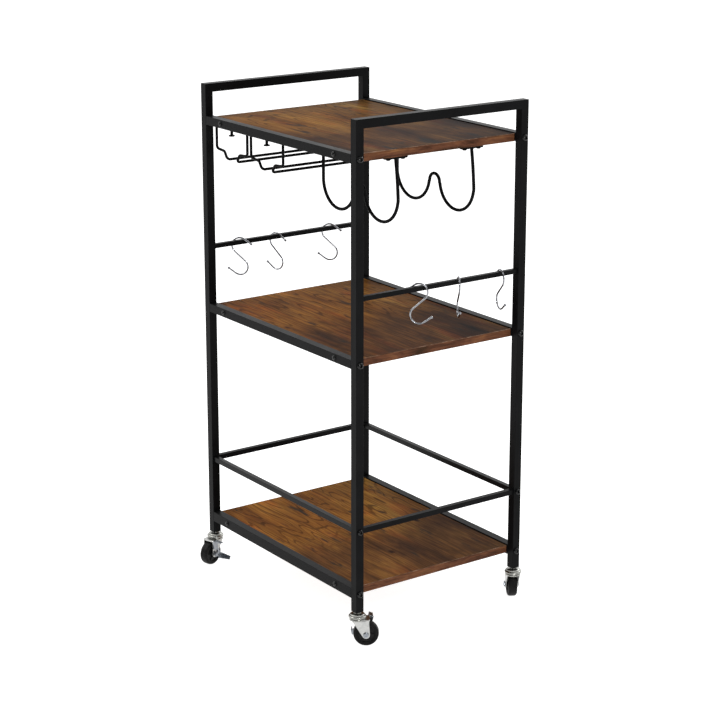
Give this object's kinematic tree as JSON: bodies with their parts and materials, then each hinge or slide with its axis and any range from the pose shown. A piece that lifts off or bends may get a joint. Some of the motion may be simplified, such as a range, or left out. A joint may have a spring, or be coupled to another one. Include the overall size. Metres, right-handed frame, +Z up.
{
  "type": "bar cart",
  "caption": "Slim three-shelf serving cart: square-tube frame, wood shelves, stemware and bottle racks, side hooks, low guard rails, swivel casters, two braked.",
  "frame": {"origin": "on the floor under the middle of the cart", "axes": "+X along the long side, +Y to the back, +Z up"},
  "size_m": [0.4995, 0.4069, 0.8865],
  "materials": {
    "frame": "satin black powder coat",
    "board": "rustic brown wood-grain board, satin",
    "bolts": "black oxide steel",
    "wire": "satin black coated wire",
    "chrome": "polished chrome",
    "zinc": "bright zinc-plated pressed steel",
    "axle_steel": "plated steel",
    "wheel": "black moulded tyre"
  },
  "bodies": {
    "cart": {"left_end_frame": "frame", "right_end_frame": "frame", "rail_top_front": "frame", "rail_top_back": "frame", "panel_top": "board", "rail_middle_front": "frame", "rail_middle_back": "frame", "panel_middle": "board", "rail_bottom_front": "frame", "rail_bottom_back": "frame", "panel_bottom": "board", "guard_rail_front": "frame", "guard_rail_back": "frame", "bolt_front_left_top": "bolts", "bolt_front_left_middle": "bolts", "bolt_front_left_bottom": "bolts", "bolt_front_left_guard": "bolts", "bolt_front_right_top": "bolts", "bolt_front_right_middle": "bolts", "bolt_front_right_bottom": "bolts", "bolt_front_right_guard": "bolts", "bolt_back_left_top": "bolts", "bolt_back_left_middle": "bolts", "bolt_back_left_bottom": "bolts", "bolt_back_left_guard": "bolts", "bolt_back_right_top": "bolts", "bolt_back_right_middle": "bolts", "bolt_back_right_bottom": "bolts", "bolt_back_right_guard": "bolts", "glass_rack_left": "wire", "glass_rack_right": "wire", "wine_rack_front": "wire", "wine_rack_back": "wire", "stem_front_left": "zinc", "stem_front_right": "zinc", "stem_back_left": "zinc", "stem_back_right": "zinc"},
    "swivel_front_left": {"fork_front_left": "zinc", "axle_front_left": "axle_steel"},
    "roller_front_left": {"wheel_front_left": "wheel"},
    "lever_front_left": {"brake_front_left": "zinc"},
    "swivel_front_right": {"fork_front_right": "zinc", "axle_front_right": "axle_steel"},
    "roller_front_right": {"wheel_front_right": "wheel"},
    "lever_front_right": {"brake_front_right": "zinc"},
    "swivel_back_left": {"fork_back_left": "zinc", "axle_back_left": "axle_steel"},
    "roller_back_left": {"wheel_back_left": "wheel"},
    "swivel_back_right": {"fork_back_right": "zinc", "axle_back_right": "axle_steel"},
    "roller_back_right": {"wheel_back_right": "wheel"},
    "swing_hook_left_front": {"hook_left_front": "chrome"},
    "swing_hook_left_middle": {"hook_left_middle": "chrome"},
    "swing_hook_left_back": {"hook_left_back": "chrome"},
    "swing_hook_right_front": {"hook_right_front": "chrome"},
    "swing_hook_right_middle": {"hook_right_middle": "chrome"},
    "swing_hook_right_back": {"hook_right_back": "chrome"}
  },
  "joints": [
    {"name": "swivel_turn_front_left", "type": "hinge", "parent": "cart", "child": "swivel_front_left", "pos_m": [-0.2255, -0.1675, 0.0595], "axis": [0, 0, 1], "continuous": true},
    {"name": "wheel_spin_front_left", "type": "hinge", "parent": "swivel_front_left", "child": "roller_front_left", "pos_m": [-0.22102, -0.18129, 0.0215], "axis": [0.9511, 0.309, 0], "continuous": true},
    {"name": "brake_tip_front_left", "type": "hinge", "parent": "swivel_front_left", "child": "lever_front_left", "pos_m": [-0.22102, -0.18129, 0.0215], "axis": [0.9511, 0.309, 0], "range_deg": [0, 18]},
    {"name": "swivel_turn_front_right", "type": "hinge", "parent": "cart", "child": "swivel_front_right", "pos_m": [0.2255, -0.1675, 0.0595], "axis": [0, 0, 1], "continuous": true},
    {"name": "wheel_spin_front_right", "type": "hinge", "parent": "swivel_front_right", "child": "roller_front_right", "pos_m": [0.23402, -0.15577, 0.0215], "axis": [-0.809, 0.5878, 0], "continuous": true},
    {"name": "brake_tip_front_right", "type": "hinge", "parent": "swivel_front_right", "child": "lever_front_right", "pos_m": [0.23402, -0.15577, 0.0215], "axis": [-0.809, 0.5878, 0], "range_deg": [0, 18]},
    {"name": "swivel_turn_back_left", "type": "hinge", "parent": "cart", "child": "swivel_back_left", "pos_m": [-0.2255, 0.1675, 0.0595], "axis": [0, 0, 1], "continuous": true},
    {"name": "wheel_spin_back_left", "type": "hinge", "parent": "swivel_back_left", "child": "roller_back_left", "pos_m": [-0.22398, 0.18192, 0.0215], "axis": [-0.9945, 0.1045, 0], "continuous": true},
    {"name": "swivel_turn_back_right", "type": "hinge", "parent": "cart", "child": "swivel_back_right", "pos_m": [0.2255, 0.1675, 0.0595], "axis": [0, 0, 1], "continuous": true},
    {"name": "wheel_spin_back_right", "type": "hinge", "parent": "swivel_back_right", "child": "roller_back_right", "pos_m": [0.21307, 0.17497, 0.0215], "axis": [-0.515, -0.8572, 0], "continuous": true},
    {"name": "swing_of_hook_left_front", "type": "hinge", "parent": "cart", "child": "swing_hook_left_front", "pos_m": [-0.2255, -0.105, 0.58895], "axis": [-0.7071, 0.7071, 0], "range_deg": [-25, 25]},
    {"name": "swing_of_hook_left_middle", "type": "hinge", "parent": "cart", "child": "swing_hook_left_middle", "pos_m": [-0.2255, -0.027, 0.58768], "axis": [-0.309, 0.9511, 0], "range_deg": [-25, 25]},
    {"name": "swing_of_hook_left_back", "type": "hinge", "parent": "cart", "child": "swing_hook_left_back", "pos_m": [-0.2255, 0.09, 0.58885], "axis": [-0.6947, 0.7193, 0], "range_deg": [-25, 25]},
    {"name": "swing_of_hook_right_front", "type": "hinge", "parent": "cart", "child": "swing_hook_right_front", "pos_m": [0.2255, -0.044, 0.58905], "axis": [0.7193, -0.6947, 0], "range_deg": [-25, 25]},
    {"name": "swing_of_hook_right_middle", "type": "hinge", "parent": "cart", "child": "swing_hook_right_middle", "pos_m": [0.2255, 0.038, 0.58805], "axis": [-0.515, -0.8572, 0], "range_deg": [-25, 25]},
    {"name": "swing_of_hook_right_back", "type": "hinge", "parent": "cart", "child": "swing_hook_right_back", "pos_m": [0.2255, 0.127, 0.58764], "axis": [-0.2756, -0.9613, 0], "range_deg": [-25, 25]}
  ]
}
